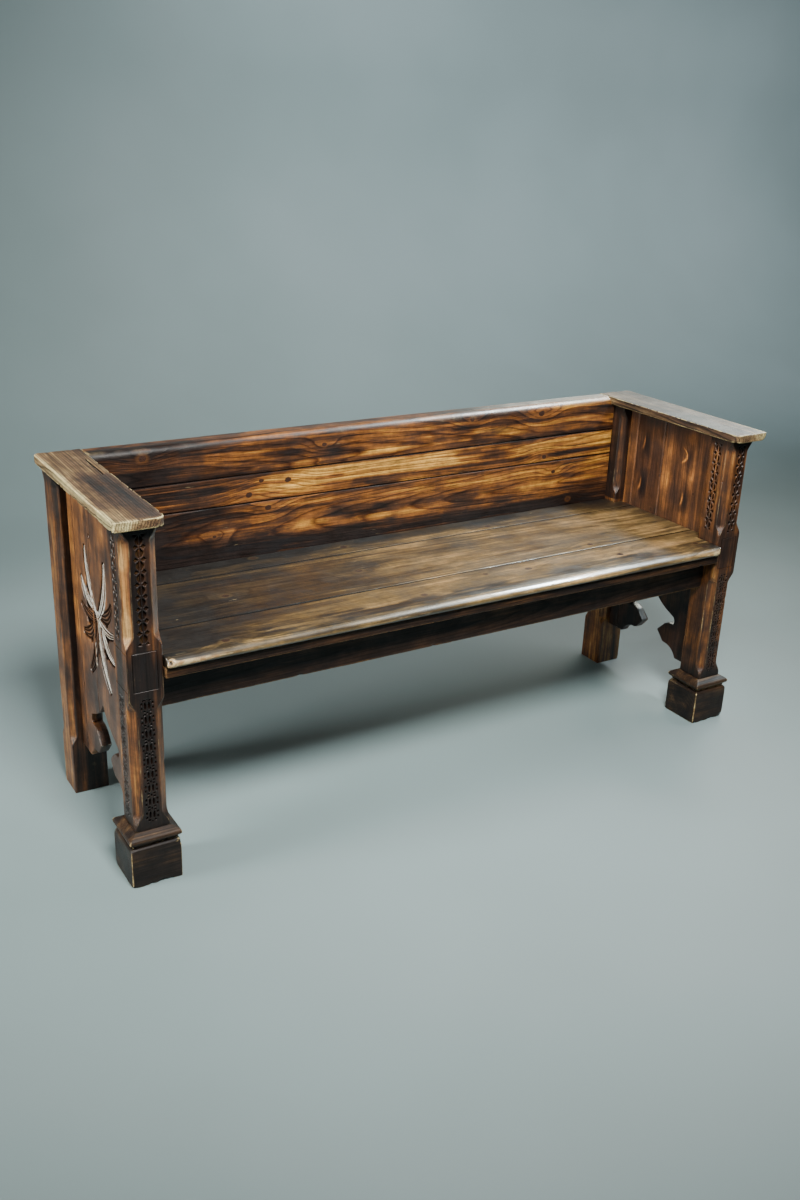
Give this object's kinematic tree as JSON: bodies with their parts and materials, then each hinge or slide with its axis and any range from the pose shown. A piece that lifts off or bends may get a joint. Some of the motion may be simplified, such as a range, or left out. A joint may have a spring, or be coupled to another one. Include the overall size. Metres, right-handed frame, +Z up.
{
  "type": "church pew",
  "caption": "Wooden church pew with framed ends, flat armrests, boarded back and seat, chamfered posts on moulded plinths and cusped arches under the ends.",
  "frame": {"origin": "on the floor, below the centre of the bench's bounding box", "axes": "+Z up, +X along the bench to the sitter's left, -Y the way the sitter faces"},
  "size_m": [1.606, 0.5, 0.762],
  "materials": {
    "post_wood": "dark stained pitch pine, waxed, worn orange on the chamfers",
    "plinth_wood": "dark stained pitch pine, scuffed to bare wood along the edges",
    "panel_wood": "stained pitch pine with vertical grain, waxed",
    "back_wood": "stained and varnished pitch pine, golden grain, satin",
    "seat_wood": "stained pitch pine, dulled and scratched by use, satin",
    "apron_wood": "near-black stained pitch pine, matt",
    "arm_wood": "weathered pitch pine, bare grey top and pale worn edges",
    "bare_wood": "unfinished pine, matt",
    "steel": "dull steel"
  },
  "bodies": {
    "root": {"back_lower_board": "back_wood", "back_middle_board": "back_wood", "back_top_rail": "back_wood", "front_apron": "apron_wood", "ledger_screw_1": "steel", "ledger_screw_2": "steel", "ledger_screw_3": "steel", "left_armrest": "arm_wood", "left_cleat_screw_1": "steel", "left_cleat_screw_2": "steel", "left_front_arm_dowel": "bare_wood", "left_front_post": "post_wood", "left_panel_fillet": "panel_wood", "left_panel_front_board": "panel_wood", "left_panel_rear_board": "panel_wood", "left_plinth_block": "plinth_wood", "left_plinth_collar": "plinth_wood", "left_rear_arm_dowel": "bare_wood", "left_rear_post": "post_wood", "left_seat_cleat": "bare_wood", "right_armrest": "arm_wood", "right_cleat_screw_1": "steel", "right_cleat_screw_2": "steel", "right_front_arm_dowel": "bare_wood", "right_front_post": "post_wood", "right_panel_fillet": "panel_wood", "right_panel_front_board": "panel_wood", "right_panel_rear_board": "panel_wood", "right_plinth_block": "plinth_wood", "right_plinth_collar": "plinth_wood", "right_rear_arm_dowel": "bare_wood", "right_rear_post": "post_wood", "right_seat_cleat": "bare_wood", "seat_centre_bearer": "bare_wood", "seat_front_bearer": "apron_wood", "seat_front_board": "seat_wood", "seat_middle_board": "seat_wood", "seat_rear_board": "seat_wood", "seat_rear_ledger": "bare_wood"}
  },
  "joints": []
}
